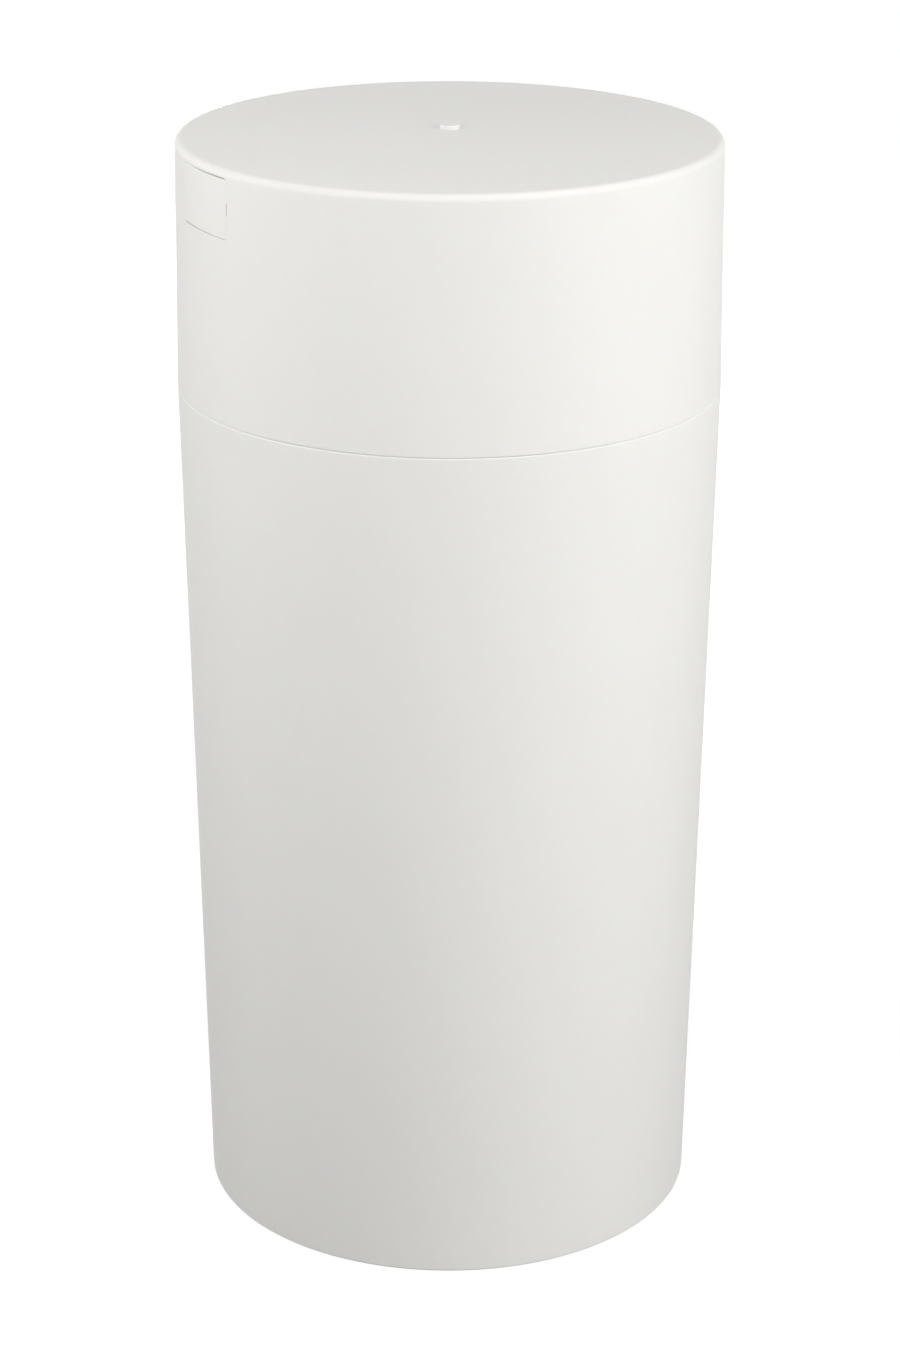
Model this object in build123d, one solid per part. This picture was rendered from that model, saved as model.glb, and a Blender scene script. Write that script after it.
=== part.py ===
from build123d import *
import os
from math import atan2, cos, degrees, pi, sin, sqrt

# A tall moulded storage canister with a deep push-on cap.
# Millimetres. Z is up, the origin is the centre of the foot ring, the release button faces -Y.

# Canister
base_diameter = 114.1
seam_height = 195.9
base_wall = 2.0
floor_thickness = 2.6
foot_recess = 1.2
foot_ring_width = 5.0
foot_corner_radius = 0.6
base_edge_radius = 1.0
floor_corner_radius = 4.0
shoulder_edge_radius = 0.25
neck_root_radius = 0.35
neck_clearance = 0.35
neck_rim_wall = 1.75
neck_rim_radius = 0.25

# Seal, a U-shaped ring that is pushed over the rim of the neck
seal_wall = 0.7
seal_top = 0.9
seal_inner_height = 3.6
seal_outer_height = 5.4
seal_fit = 0.08
seal_lip_clearance = 0.15
seal_lip_height = 1.1
seal_lip_spacing = 2.2
seal_lip_count = 2
seal_first_lip_drop = 0.9
seal_edge_radius = 0.3

# Cap
cap_height = 55.5
cap_top_diameter = 120.2
cap_draft = 0.7
cap_wall = 1.6
cap_top_wall = 1.7
cap_crown = 1.2
cap_corner_radius = 1.5
cap_edge_chamfer = 0.15
lead_in_width = 0.5
lead_in_height = 2.0
rim_edge_radius = 1.6
gate_diameter = 4.4
gate_height = 0.9
gate_edge_radius = 0.25

# Pocket for the release button, moulded into the wall of the cap
housing_wall = 1.3
housing_floor_wall = 1.5
housing_edge_radius = 0.6
housing_to_seal = 4.5

# Release button
button_width = 19.8
button_height = 12.8
button_depth = 3.8
button_face_wall = 1.8
button_skirt_wall = 1.2
button_corner_radius = 0.9
button_hollow_radius = 0.5
button_edge_radius = 0.25
button_proud = 0.15
button_top_gap = 0.3
button_bottom_gap = 0.2
button_side_gap = 0.15
button_travel = 2.0
button_end_gap = 0.3
guide_height = 2.2
guide_proud = 0.3
guide_setback = 1.6
socket_skin = 1.0
spring_pad_height = 0.4
spring_pad_margin = 0.35

# Valve stem, washer and spring behind the button
stem_diameter = 2.8
stem_fit = 0.06
stem_tip_gap = 0.1
bead_height = 0.2
bead_width = 0.8
bead_gap = 0.08
head_thickness = 1.4
head_margin = 0.2
head_edge_radius = 0.5
vent_gap = 0.9
vent_collar_wall = 0.5
vent_collar_height = 0.6
seat_width = 1.9
washer_thickness = 1.2
spring_wire = 0.5
spring_turns = 3.25
spring_guide_gap = 0.3
spring_end_gap = 0.06
spring_samples_per_turn = 48

# Levels of the cap and of the pocket
rim_height = seam_height + cap_height
cap_top_radius = cap_top_diameter / 2
shoulder_radius = cap_top_radius + cap_draft
pocket_top = rim_height - cap_top_wall
pocket_height = button_top_gap + button_height + button_bottom_gap
pocket_bottom = pocket_top - pocket_height
valve_height = pocket_bottom + button_bottom_gap + button_height / 2


def cap_outer_radius(height):
    """Outside of the cap wall, which leans in from the shoulder of the canister to the rim."""
    return shoulder_radius - cap_draft * (height - seam_height) / cap_height


def cap_inner_radius(height):
    return cap_outer_radius(height) - cap_wall


def neck_radius(height):
    return cap_inner_radius(height) - neck_clearance


# Levels and radii of the neck and its seal
neck_rim_height = pocket_bottom - housing_wall - housing_to_seal - seal_top
neck_rim_inner_radius = neck_radius(neck_rim_height) - neck_rim_wall
seal_seat_radius = neck_radius(neck_rim_height) - seal_wall - seal_fit
seal_seat_height = neck_rim_height - seal_outer_height - seal_fit

# Distances out from the axis of the canister along the axis of the valve
button_reach = cap_outer_radius(valve_height) + button_proud
skirt_reach = button_reach - button_depth
socket_reach = button_reach - socket_skin
spring_pad_reach = button_reach - button_face_wall - spring_pad_height
pocket_reach = skirt_reach - button_travel - button_end_gap - vent_collar_height
seat_reach = pocket_reach - housing_floor_wall
washer_reach = seat_reach - washer_thickness
head_reach = washer_reach - head_thickness
past_wall_reach = button_reach + button_depth

# Diameters on the axis of the valve
vent_diameter = stem_diameter + 2 * vent_gap
collar_diameter = vent_diameter + 2 * vent_collar_wall
washer_diameter = vent_diameter + 2 * seat_width
head_diameter = washer_diameter + 2 * head_margin
spring_inner_diameter = collar_diameter + 2 * spring_guide_gap
spring_pad_diameter = spring_inner_diameter + 2 * (spring_wire + spring_pad_margin)
socket_diameter = stem_diameter + 2 * stem_fit

# Local frame of the valve: its Z runs out through the button
valve_frame = Plane(origin=(0, 0, valve_height), x_dir=(1, 0, 0), z_dir=(0, -1, 0))


def turned(*outline):
    """Solid of revolution about Z from a closed outline of (radius, height) edges."""
    return revolve(Plane.XZ * make_face(outline), Axis.Z)


def rounded_outline(corners):
    """Closed outline from ((radius, height), corner radius) pairs."""
    points = [point for point, rounding in corners]
    roundings = [rounding for point, rounding in corners]
    return FilletPolyline(*points, radius=roundings, close=True)


def disc(diameter, low, high):
    return extrude(Pos(0, 0, low) * Circle(diameter / 2), amount=high - low)


def rounded_block(width, height, radius, centre_height, low, high):
    """Rounded rectangle extruded along the axis of the valve."""
    outline = Pos(0, centre_height - valve_height, low) * RectangleRounded(width, height, radius)
    return valve_frame * extrude(outline, amount=high - low)


def guide_bar(clearance, low, high):
    """Bar across the button whose ends are the ribs that keep it upright in its pocket."""
    width = button_width + 2 * (guide_proud + clearance)
    bar = Box(width, guide_height + 2 * clearance, high - low)
    return valve_frame * Pos(0, 0, (low + high) / 2) * bar


def gate_pip(face_height, outward):
    """Low round pip that the moulding gate leaves on a face, with its foot sunk into the wall."""
    pip = disc(gate_diameter, -gate_height, gate_height)
    pip = fillet(pip.edges().sort_by(Axis.Z)[-1], gate_edge_radius)
    return Pos(0, 0, face_height) * (pip if outward > 0 else Rot(180, 0, 0) * pip)


def canister_inner_radius(height):
    """Inside of the canister, drafted so that it opens steadily from the floor to the rim."""
    bottom = base_diameter / 2 - base_wall
    return bottom + (neck_rim_inner_radius - bottom) * height / neck_rim_height


def canister():
    base_radius = base_diameter / 2
    foot_radius = base_radius - foot_ring_width
    floor_height = foot_recess + floor_thickness
    corners = [
        ((0, foot_recess), 0),
        ((foot_radius, foot_recess), foot_corner_radius),
        ((foot_radius + foot_recess, 0), 0),
        ((base_radius, 0), base_edge_radius),
        ((shoulder_radius, seam_height), shoulder_edge_radius),
        ((neck_radius(seam_height), seam_height), neck_root_radius),
        ((neck_radius(seal_seat_height), seal_seat_height), 0),
        ((seal_seat_radius, seal_seat_height), 0),
        ((seal_seat_radius, neck_rim_height), neck_rim_radius),
        ((neck_rim_inner_radius, neck_rim_height), neck_rim_radius),
        ((canister_inner_radius(floor_height), floor_height), floor_corner_radius),
        ((0, floor_height), 0),
    ]
    return turned(rounded_outline(corners)) + gate_pip(foot_recess, -1)


def neck_seal():
    inner_bottom = neck_rim_height - seal_inner_height
    inner_face = canister_inner_radius(inner_bottom) - seal_fit
    outer_bottom = neck_rim_height - seal_outer_height
    outer_face = seal_seat_radius + seal_fit + seal_wall
    top = neck_rim_height + seal_top
    corners = [
        ((inner_face - seal_wall, inner_bottom), seal_edge_radius),
        ((inner_face, inner_bottom), 0),
        ((inner_face, neck_rim_height), 0),
        ((seal_seat_radius + seal_fit, neck_rim_height), 0),
        ((seal_seat_radius + seal_fit, outer_bottom), 0),
        ((outer_face, outer_bottom), 0),
        ((outer_face, top), seal_edge_radius),
        ((inner_face - seal_wall, top), seal_edge_radius),
    ]
    ring = turned(rounded_outline(corners))
    for lip in range(seal_lip_count):
        lip_top = neck_rim_height - seal_first_lip_drop - lip * seal_lip_spacing
        ring += seal_lip(outer_face, lip_top)
    return ring


def seal_lip(face, lip_top):
    """Wiping lip that points down, towards the outside air, as far as the wall of the cap."""
    lip_bottom = lip_top - seal_lip_height
    tip = cap_inner_radius(lip_top) - seal_lip_clearance
    root = face - seal_wall / 2
    outline = Polyline((root, lip_top), (face, lip_top), (tip, lip_bottom), (root, lip_bottom), close=True)
    return turned(outline)


def crown_arc(radius, edge_height):
    """Gently domed line from the edge of the cap's top to its centre."""
    sphere_radius = (radius**2 + cap_crown**2) / (2 * cap_crown)
    half_drop = sphere_radius - sqrt(sphere_radius**2 - (radius / 2) ** 2)
    apex = edge_height + cap_crown
    return ThreePointArc((radius, edge_height), (radius / 2, apex - half_drop), (0, apex))


def cap_envelope():
    lean = atan2(cap_draft, cap_height)
    edge_start = rim_height - rim_edge_radius * (1 - sin(lean))
    wall = Polyline(
        (0, rim_height + cap_crown),
        (0, seam_height),
        (shoulder_radius - cap_edge_chamfer, seam_height),
        (cap_outer_radius(seam_height + cap_edge_chamfer), seam_height + cap_edge_chamfer),
        (cap_outer_radius(edge_start), edge_start),
    )
    edge = JernArc(wall @ 1, wall % 1, rim_edge_radius, 90 - degrees(lean))
    return turned(wall, edge, crown_arc((edge @ 1).X, rim_height))


def cap_cavity():
    ceiling_radius = cap_inner_radius(pocket_top)
    lead_in_top = seam_height + lead_in_height
    wall = Polyline(
        (0, pocket_top + cap_crown),
        (0, seam_height),
        (cap_inner_radius(seam_height) + lead_in_width, seam_height),
        (cap_inner_radius(lead_in_top), lead_in_top),
        (ceiling_radius, pocket_top),
    )
    cavity = turned(wall, crown_arc(ceiling_radius, pocket_top))
    rings = cavity.edges().filter_by(lambda edge: edge.is_closed)
    ceiling_edge = rings.sort_by(Axis.Z)[-1]
    return fillet(ceiling_edge, cap_corner_radius)


def cap():
    pocket_width = button_width + 2 * button_side_gap
    pocket_radius = button_corner_radius + button_side_gap
    pocket_centre = pocket_bottom + pocket_height / 2
    housing_radius = pocket_radius + housing_wall
    housing_bottom = pocket_bottom - housing_wall
    housing_top = rim_height + housing_radius
    housing = rounded_block(
        pocket_width + 2 * housing_wall,
        housing_top - housing_bottom,
        housing_radius,
        (housing_top + housing_bottom) / 2,
        seat_reach,
        past_wall_reach,
    )
    housing = fillet(housing.faces().sort_by(Axis.Y)[-1].edges(), housing_edge_radius)
    pocket = rounded_block(
        pocket_width, pocket_height, pocket_radius, pocket_centre, pocket_reach, past_wall_reach
    )
    pocket += guide_bar(button_side_gap, pocket_reach, past_wall_reach)
    collar = valve_frame * disc(collar_diameter, seat_reach, pocket_reach + vent_collar_height)
    vent = valve_frame * disc(vent_diameter, head_reach, skirt_reach)
    shell = cap_envelope() - (cap_cavity() - housing)
    return shell - pocket + collar - vent + gate_pip(rim_height + cap_crown, 1)


def face_cone(offset):
    """Solid inside the cap's drafted outer face, moved out by an offset."""
    low = pocket_bottom - housing_wall
    outline = Polyline(
        (0, low),
        (cap_outer_radius(low) + offset, low),
        (cap_outer_radius(rim_height) + offset, rim_height),
        (0, rim_height),
        close=True,
    )
    return turned(outline)


def button_socket():
    """Blind bore for the stem with the groove that its bead snaps into."""
    bore = disc(socket_diameter, skirt_reach - button_end_gap, socket_reach)
    middle = (skirt_reach + socket_reach) / 2
    groove_width = bead_width + 2 * bead_gap
    groove = disc(socket_diameter + 2 * bead_height, middle - groove_width / 2, middle + groove_width / 2)
    return valve_frame * (bore + groove)


def release_button():
    block = rounded_block(
        button_width, button_height, button_corner_radius, valve_height, skirt_reach, past_wall_reach
    )
    block = block & face_cone(button_proud)
    face = block.faces().sort_by(Axis.Y)[0]
    block = fillet(face.edges(), button_edge_radius)
    block += guide_bar(0, skirt_reach, button_reach - guide_setback)
    hollow = rounded_block(
        button_width - 2 * button_skirt_wall,
        button_height - 2 * button_skirt_wall,
        button_hollow_radius,
        valve_height,
        skirt_reach,
        past_wall_reach,
    )
    hollow = hollow & face_cone(button_proud - button_face_wall)
    inside_face = button_reach - button_face_wall / 2
    pad = valve_frame * disc(spring_pad_diameter, spring_pad_reach, inside_face)
    boss = valve_frame * disc(collar_diameter, skirt_reach, inside_face)
    return block - hollow + pad + boss - button_socket()


def valve_stem():
    tip = socket_reach - stem_tip_gap
    middle = (skirt_reach + socket_reach) / 2
    head = disc(head_diameter, head_reach, washer_reach)
    head = fillet(head.edges().sort_by(Axis.Z)[0], head_edge_radius)
    shaft = disc(stem_diameter, washer_reach, tip)
    shaft = chamfer(shaft.edges().sort_by(Axis.Z)[-1], bead_height)
    bead = disc(stem_diameter + 2 * bead_height, middle - bead_width / 2, middle + bead_width / 2)
    bead = chamfer(bead.edges().sort_by(Axis.Z)[-1], bead_height)
    return valve_frame * (head + shaft + bead)


def valve_washer():
    ring = disc(washer_diameter, washer_reach, seat_reach)
    hole = disc(socket_diameter, washer_reach, seat_reach)
    return valve_frame * (ring - hole)


def biarc(start, start_way, end, end_way):
    """Two tangent arcs from one point and direction to another."""
    span = end - start
    ways = start_way + end_way
    square = 2 * (1 - start_way.dot(end_way))
    lean = span.dot(ways)
    arm = (sqrt(lean**2 + square * span.dot(span)) - lean) / square
    first = start + start_way * arm
    last = end - end_way * arm
    joint = (first + last) / 2
    return [
        TangentArc(start, joint, tangent=start_way),
        TangentArc(joint, end, tangent=last - first),
    ]


def button_spring():
    """Open coil spring in quarter turns between the pocket's floor and the button's pad."""
    coil_radius = (spring_inner_diameter + spring_wire) / 2
    low = pocket_reach + spring_end_gap + spring_wire / 2
    high = spring_pad_reach - spring_end_gap - spring_wire / 2
    pitch = (high - low) / spring_turns
    quarters = round(4 * spring_turns)
    points = []
    ways = []
    for quarter in range(quarters + 1):
        angle = quarter * pi / 2
        points.append(Vector(coil_radius * cos(angle), coil_radius * sin(angle), low + pitch * quarter / 4))
        way = Vector(-coil_radius * sin(angle), coil_radius * cos(angle), pitch / (2 * pi))
        ways.append(way.normalized())
    arcs = []
    for quarter in range(quarters):
        arcs += biarc(points[quarter], ways[quarter], points[quarter + 1], ways[quarter + 1])
    path = Wire([arc.edge() for arc in arcs])
    wire_section = Plane(origin=points[0], z_dir=ways[0]) * Circle(spring_wire / 2)
    coil = sweep(wire_section, path=path)
    print_coil_sizes(path, coil, pitch)
    return valve_frame * coil


def print_coil_sizes(path, coil, pitch):
    samples = round(spring_samples_per_turn * spring_turns)
    line = [path @ (step / samples) for step in range(samples + 1)]
    half_turn = spring_samples_per_turn // 2
    gaps = [
        (line[i] - line[j]).length - spring_wire
        for i in range(len(line))
        for j in range(i + half_turn, len(line))
    ]
    swept = path.length * pi * spring_wire**2 / 4
    print(f"spring: pitch {pitch:.3f}, least gap {min(gaps):.3f}, volume {coil.volume:.3f} of {swept:.3f}")


pieces = {
    "canister": canister(),
    "neck_seal": neck_seal(),
    "cap": cap(),
    "release_button": release_button(),
    "valve_stem": valve_stem(),
    "valve_washer": valve_washer(),
    "button_spring": button_spring(),
}

os.makedirs("parts", exist_ok=True)
for name, piece in pieces.items():
    export_step(piece, f"parts/{name}.step")
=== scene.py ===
import math

import bmesh
import bpy
import numpy as np
from mathutils import Matrix, Vector


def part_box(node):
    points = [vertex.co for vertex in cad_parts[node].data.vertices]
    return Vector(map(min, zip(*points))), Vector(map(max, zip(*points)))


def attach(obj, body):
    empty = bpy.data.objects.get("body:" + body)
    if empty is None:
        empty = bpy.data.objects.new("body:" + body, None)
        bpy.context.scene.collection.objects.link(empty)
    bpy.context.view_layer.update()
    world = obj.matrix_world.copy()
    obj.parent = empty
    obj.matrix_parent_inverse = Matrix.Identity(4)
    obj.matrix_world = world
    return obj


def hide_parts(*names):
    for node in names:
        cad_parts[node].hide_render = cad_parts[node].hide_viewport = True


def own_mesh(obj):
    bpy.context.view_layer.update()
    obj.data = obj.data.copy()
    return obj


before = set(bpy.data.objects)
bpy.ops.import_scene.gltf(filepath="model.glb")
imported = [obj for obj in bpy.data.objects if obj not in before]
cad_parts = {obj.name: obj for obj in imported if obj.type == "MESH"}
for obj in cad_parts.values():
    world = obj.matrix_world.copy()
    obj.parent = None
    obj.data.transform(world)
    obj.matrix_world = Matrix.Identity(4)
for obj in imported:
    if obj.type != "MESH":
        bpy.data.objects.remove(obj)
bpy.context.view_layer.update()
mm = 0.001  # shapes are drawn in millimetres and kept in metres


def levels(node):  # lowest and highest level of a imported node, in millimetres
    low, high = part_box(node)
    return low.z / mm, high.z / mm


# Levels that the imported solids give
seamLevel, capTopLevel = levels("cap")
neckRimLevel = levels("canister")[1]
buttonLow, buttonHigh = levels("release_button")
valveLevel = (buttonLow + buttonHigh) / 2

# Mesh fineness
turnSteps = 288  # facets round the axis
arcStep = math.radians(10)
leastArcSteps = 3
lineStep = 6.0
edgeSteps = 12  # round the edge of a domed top
domeSteps = 30
vaultSteps = 16
cornerSteps = 9  # round each corner of the button's outline
sideSteps = 16
mouthSteps = 5  # round the pocket's mouth
housingSteps = 7
faceEdgeSteps = 9
ringDigits = 4  # rings that agree to this many decimals are shared
tiny = 1e-6  # lengths and turns below this count as none
twinDistance = 0.0001  # points of a cut that lie nearer than this are one


class Skin:  # points, faces, and one normal for each face corner
    def __init__(self):
        self.points = []
        self.faces = []
        self.normals = []
        self.rings = {}

    def ring(self, key, points):  # a ring that an earlier band ended on is shared
        if key not in self.rings:
            first = len(self.points)
            self.points.extend(points)
            self.rings[key] = range(first, first + len(points))
        return self.rings[key]

    def band(self, low, high, lowNormals, highNormals):
        count = max(len(low), len(high))
        for here in range(count):
            there = (here + 1) % count
            walk = [
                (low, lowNormals, here),
                (low, lowNormals, there),
                (high, highNormals, there),
                (high, highNormals, here),
            ]
            face = []
            for ring, normals, step in walk:
                point = ring[step % len(ring)]
                if point not in face:
                    face.append(point)
                    self.normals.append(normals[step])
            self.faces.append(face)

    def join(self, other):
        first = len(self.points)
        self.points.extend(other.points)
        self.faces.extend([point + first for point in face] for face in other.faces)
        self.normals.extend(other.normals)


# Outlines are walked with the material on the left, so the outside is on the right
def unit(way):
    return way / np.linalg.norm(way)


def outside(way):
    return np.array([way[1], -way[0]])


def turnedWay(way, angle):
    return np.array([
        way[0] * math.cos(angle) - way[1] * math.sin(angle),
        way[0] * math.sin(angle) + way[1] * math.cos(angle),
    ])


def cornerArc(before, corner, after, rounding):
    wayIn = unit(corner - before)
    wayOut = unit(after - corner)
    turn = math.atan2(wayIn[0] * wayOut[1] - wayIn[1] * wayOut[0], wayIn @ wayOut)
    if rounding == 0 or abs(turn) < tiny:
        return [(corner, outside(wayOut))]
    side = math.copysign(1, turn)
    start = corner - wayIn * rounding * math.tan(abs(turn) / 2)
    centre = start - outside(wayIn) * rounding * side
    steps = max(leastArcSteps, math.ceil(abs(turn) / arcStep))
    arc = []
    for step in range(steps + 1):
        outward = outside(turnedWay(wayIn, turn * step / steps))
        arc.append((centre + outward * rounding * side, outward))
    return arc


def lineRun(start, end):
    outward = outside(unit(end - start))
    steps = math.ceil(np.linalg.norm(end - start) / lineStep)
    return [(start + (end - start) * step / steps, outward) for step in range(steps + 1)]


def outlineRuns(corners, closed=False):  # corners are (radius, level, rounding)
    points = [np.array(corner[:2], float) for corner in corners]
    last = len(points) - 1
    arcs = []
    for index, corner in enumerate(corners):
        if not closed and index in (0, last):
            arcs.append([(points[index], None)])
        else:
            before, after = points[index - 1], points[(index + 1) % len(points)]
            arcs.append(cornerArc(before, points[index], after, corner[2]))
    runs = []
    for index in range(len(points) if closed else last):
        nextArc = arcs[(index + 1) % len(points)]
        start, end = arcs[index][-1][0], nextArc[0][0]
        if np.linalg.norm(end - start) > tiny:
            runs.append(lineRun(start, end))
        if len(nextArc) > 1:
            runs.append(nextArc)
    return runs


def crownRuns(centre, rounding, apex, stopRadius, steps, wallLean=0.0):
    # a rounded edge that runs on smoothly from the wall into a shallow dome
    centreRadius, centreLevel = centre
    drop = centreLevel - apex
    dome = (rounding**2 - drop**2 - centreRadius**2) / (2 * (drop + rounding))
    domeCentre = apex - dome
    lean = math.atan2(centreRadius, centreLevel - domeCentre)
    stop = math.asin(stopRadius / dome)
    edge = []
    for angle in np.linspace(wallLean, math.pi / 2 - lean, edgeSteps):
        outward = np.array([math.cos(angle), math.sin(angle)])
        edge.append((np.array(centre) + outward * rounding, outward))
    top = []
    for angle in np.linspace(lean, stop, steps):
        outward = np.array([math.sin(angle), math.cos(angle)])
        top.append((np.array([0, domeCentre]) + outward * dome, outward))
    return [edge, top]


def turnedOver(runs):  # the same runs seen from the other side of the wall
    return [[(point, -outward) for point, outward in reversed(run)] for run in reversed(runs)]


def latheSkin(runs, turns=turnSteps):
    skin = Skin()
    angles = np.arange(turns) * 2 * math.pi / turns
    spokes = np.stack([np.cos(angles), np.sin(angles), np.zeros(turns)], axis=1)
    up = np.array([0, 0, 1.0])
    for run in runs:
        rings = []
        for (radius, level), (outward, upward) in run:
            key = (round(radius, ringDigits), round(level, ringDigits))
            count = turns if radius > tiny else 1
            ring = skin.ring(key, spokes[:count] * radius + up * level)
            rings.append((ring, spokes * outward + up * upward))
        for (low, lowNormals), (high, highNormals) in zip(rings, rings[1:]):
            skin.band(low, high, lowNormals, highNormals)
    return skin


def loftSkin(stages):  # stages are (points, normals of the band before, normals of the band after)
    skin = Skin()
    rings = [skin.ring(index, points) for index, (points, _, _) in enumerate(stages)]
    for index in range(len(stages) - 1):
        skin.band(rings[index], rings[index + 1], stages[index][2], stages[index + 1][1])
    return skin


def valvePlace(points):  # across, up and out along the valve's axis, to the frame of the canister
    points = np.asarray(points, float)
    return np.stack([points[:, 0], -points[:, 2], points[:, 1]], axis=1)


def onValveAxis(skin):
    skin.points = list(valvePlace(skin.points) + np.array([0, 0, valveLevel]))
    skin.normals = list(valvePlace(skin.normals))
    return skin


def skinMesh(name, skin):
    mesh = bpy.data.meshes.new(name)
    mesh.from_pydata([tuple(point) for point in skin.points], [], skin.faces)
    mesh.polygons.foreach_set("use_smooth", [True] * len(mesh.polygons))
    return mesh


def addPiece(name, mesh, normals, finish, body, slotName, *nodes):
    mesh.transform(Matrix.Scale(mm, 4))
    mesh.normals_split_custom_set([tuple(unit(np.array(normal))) for normal in normals])
    mesh.materials.clear()
    mesh.materials.append(finish)
    piece = bpy.data.objects.new(name, mesh)
    bpy.context.collection.objects.link(piece)
    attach(piece, body)
    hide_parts(*nodes)
    print(name, len(mesh.polygons), "faces")
    return piece


# Shader helpers
def feed(tree, socket, value):  # a link from another node, or a plain value
    if isinstance(value, bpy.types.NodeSocket):
        tree.links.new(value, socket)
    else:
        socket.default_value = value


def addNode(tree, kind, **inputs):
    node = tree.nodes.new(kind)
    for name, value in inputs.items():
        feed(tree, node.inputs[name.replace("_", " ")], value)
    return node


def addMath(tree, operation, first, second):
    node = tree.nodes.new("ShaderNodeMath")
    node.operation = operation
    feed(tree, node.inputs[0], first)
    feed(tree, node.inputs[1], second)
    return node.outputs[0]


def addBlend(tree, factor, first, second):
    node = tree.nodes.new("ShaderNodeMix")
    node.data_type = "RGBA"
    feed(tree, node.inputs[0], factor)
    feed(tree, node.inputs[6], first)  # sockets 6, 7 and 2 are the ones for colours
    feed(tree, node.inputs[7], second)
    return node.outputs[2]


def newGroup(name, inputs, outputs):
    group = bpy.data.node_groups.new(name, "ShaderNodeTree")
    for label, kind, value in inputs:
        socket = group.interface.new_socket(name=label, in_out="INPUT", socket_type=kind)
        socket.default_value = value
    for label, kind in outputs:
        group.interface.new_socket(name=label, in_out="OUTPUT", socket_type=kind)
    return group


def addNoise(group, place, scale, look):
    return addNode(group, "ShaderNodeTexNoise", Vector=place, Scale=scale, **look).outputs["Fac"]


mouldedNoise = {
    "mottle": {"Detail": 3.0, "Roughness": 0.6},
    "waves": {"Detail": 1.0, "Roughness": 0.4},
    "grain": {"Detail": 2.0, "Roughness": 0.5},
    "flowStretch": (1, 1, 0.35),  # the waves run along the way the mould draws
}


def mouldedSkinGroup():  # moulded surface: faint mottling, a polish that varies, flow waves and fine grain
    group = newGroup(
        "mouldedSkin",
        [
            ("Light Tone", "NodeSocketColor", (0.8, 0.8, 0.8, 1)),
            ("Deep Tone", "NodeSocketColor", (0.75, 0.75, 0.75, 1)),
            ("Smoothest", "NodeSocketFloat", 0.3),
            ("Roughest", "NodeSocketFloat", 0.4),
            ("Mottle Scale", "NodeSocketFloat", 60.0),
            ("Wave Scale", "NodeSocketFloat", 30.0),
            ("Grain Scale", "NodeSocketFloat", 1500.0),
            ("Grain Share", "NodeSocketFloat", 0.1),
        ],
        [("Tone", "NodeSocketColor"), ("Roughness", "NodeSocketFloat"), ("Height", "NodeSocketFloat")],
    )
    given = group.nodes.new("NodeGroupInput").outputs
    made = group.nodes.new("NodeGroupOutput").inputs
    place = group.nodes.new("ShaderNodeTexCoord").outputs["Object"]
    drawn = addNode(group, "ShaderNodeMapping", Vector=place, Scale=mouldedNoise["flowStretch"]).outputs[0]
    mottle = addNoise(group, place, given["Mottle Scale"], mouldedNoise["mottle"])
    waves = addNoise(group, drawn, given["Wave Scale"], mouldedNoise["waves"])
    grain = addNoise(group, place, given["Grain Scale"], mouldedNoise["grain"])
    span = addMath(group, "SUBTRACT", given["Roughest"], given["Smoothest"])
    rough = addMath(group, "ADD", given["Smoothest"], addMath(group, "MULTIPLY", span, mottle))
    height = addMath(group, "ADD", waves, addMath(group, "MULTIPLY", grain, given["Grain Share"]))
    group.links.new(addBlend(group, mottle, given["Deep Tone"], given["Light Tone"]), made["Tone"])
    group.links.new(rough, made["Roughness"])
    group.links.new(height, made["Height"])
    return group


def newFinish(name):
    finish = bpy.data.materials.new(name)
    finish.use_nodes = True
    tree = finish.node_tree
    return finish, tree, tree.nodes["Principled BSDF"]


mouldedSkin = mouldedSkinGroup()


def mouldedFinish(name, values):
    finish, tree, shader = newFinish(name)
    skin = tree.nodes.new("ShaderNodeGroup")
    skin.node_tree = mouldedSkin
    for label, value in values["skin"].items():
        skin.inputs[label].default_value = value
    height = skin.outputs["Height"]
    bump = addNode(tree, "ShaderNodeBump", Strength=1.0, Distance=values["relief"], Height=height)
    tree.links.new(skin.outputs["Tone"], shader.inputs["Base Color"])
    tree.links.new(skin.outputs["Roughness"], shader.inputs["Roughness"])
    tree.links.new(bump.outputs["Normal"], shader.inputs["Normal"])
    for label, value in values["shader"].items():
        shader.inputs[label].default_value = value
    return finish


bodyFinish = {
    "skin": {
        "Light Tone": (0.805, 0.798, 0.772, 1),
        "Deep Tone": (0.79, 0.783, 0.757, 1),
        "Smoothest": 0.43,
        "Roughest": 0.52,
        "Mottle Scale": 55.0,
        "Wave Scale": 26.0,
        "Grain Scale": 1700.0,
        "Grain Share": 0.035,
    },
    "relief": 0.06 * mm,
    "shader": {
        "Specular IOR Level": 0.08,
        "Subsurface Weight": 0.22,
        "Subsurface Radius": (1.0, 0.75, 0.5),
        "Subsurface Scale": 0.9 * mm,
    },
}
buttonFinish = {
    "skin": {
        **bodyFinish["skin"],
        "Light Tone": (0.815, 0.807, 0.776, 1),
        "Deep Tone": (0.80, 0.792, 0.761, 1),
    },
    "relief": 0.03 * mm,
    "shader": bodyFinish["shader"],
}
valveFinish = {
    "skin": {
        "Light Tone": (0.79, 0.785, 0.765, 1),
        "Deep Tone": (0.76, 0.755, 0.735, 1),
        "Smoothest": 0.48,
        "Roughest": 0.58,
        "Mottle Scale": 260.0,
        "Wave Scale": 120.0,
        "Grain Scale": 3800.0,
        "Grain Share": 0.25,
    },
    "relief": 0.02 * mm,
    "shader": {"Specular IOR Level": 0.4},
}
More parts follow.
